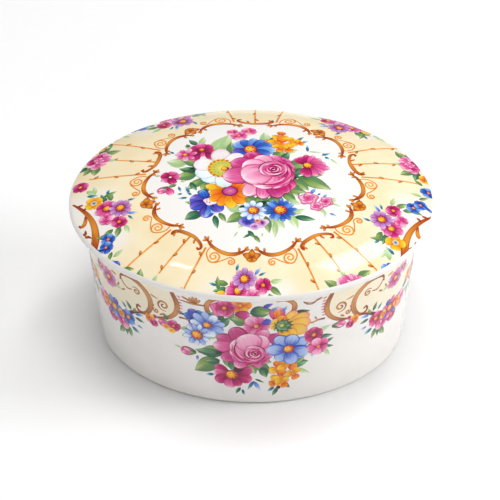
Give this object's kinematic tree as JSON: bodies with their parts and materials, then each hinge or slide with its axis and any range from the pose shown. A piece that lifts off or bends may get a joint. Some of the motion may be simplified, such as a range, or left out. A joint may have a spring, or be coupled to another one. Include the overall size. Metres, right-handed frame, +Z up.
{
  "type": "trinket box",
  "caption": "Oval porcelain trinket box: an open base with a drafted wall and foot ring, and a domed lid that lifts off, centred by a flange inside the mouth.",
  "frame": {"origin": "centre of the foot ring's underside, on the surface that the box stands on", "axes": "+X along the oval's length, -Y towards the front of the painted decoration, +Z up, the way the lid lifts off"},
  "size_m": [0.11, 0.0906, 0.0553],
  "materials": {
    "base_porcelain": "clear gloss glaze on warm white porcelain, with overglaze enamel flowers; the foot ring is bare",
    "lid_porcelain": "clear gloss glaze, cream tint outside a white centre panel and a white rim, with overglaze enamel flowers"
  },
  "bodies": {
    "base": {"box_base": "base_porcelain"},
    "lid": {"box_lid": "lid_porcelain"}
  },
  "joints": [
    {"name": "lid_lift", "type": "slide", "parent": "base", "child": "lid", "axis": [0, 0, 1], "range_m": [0, 0.05]}
  ]
}
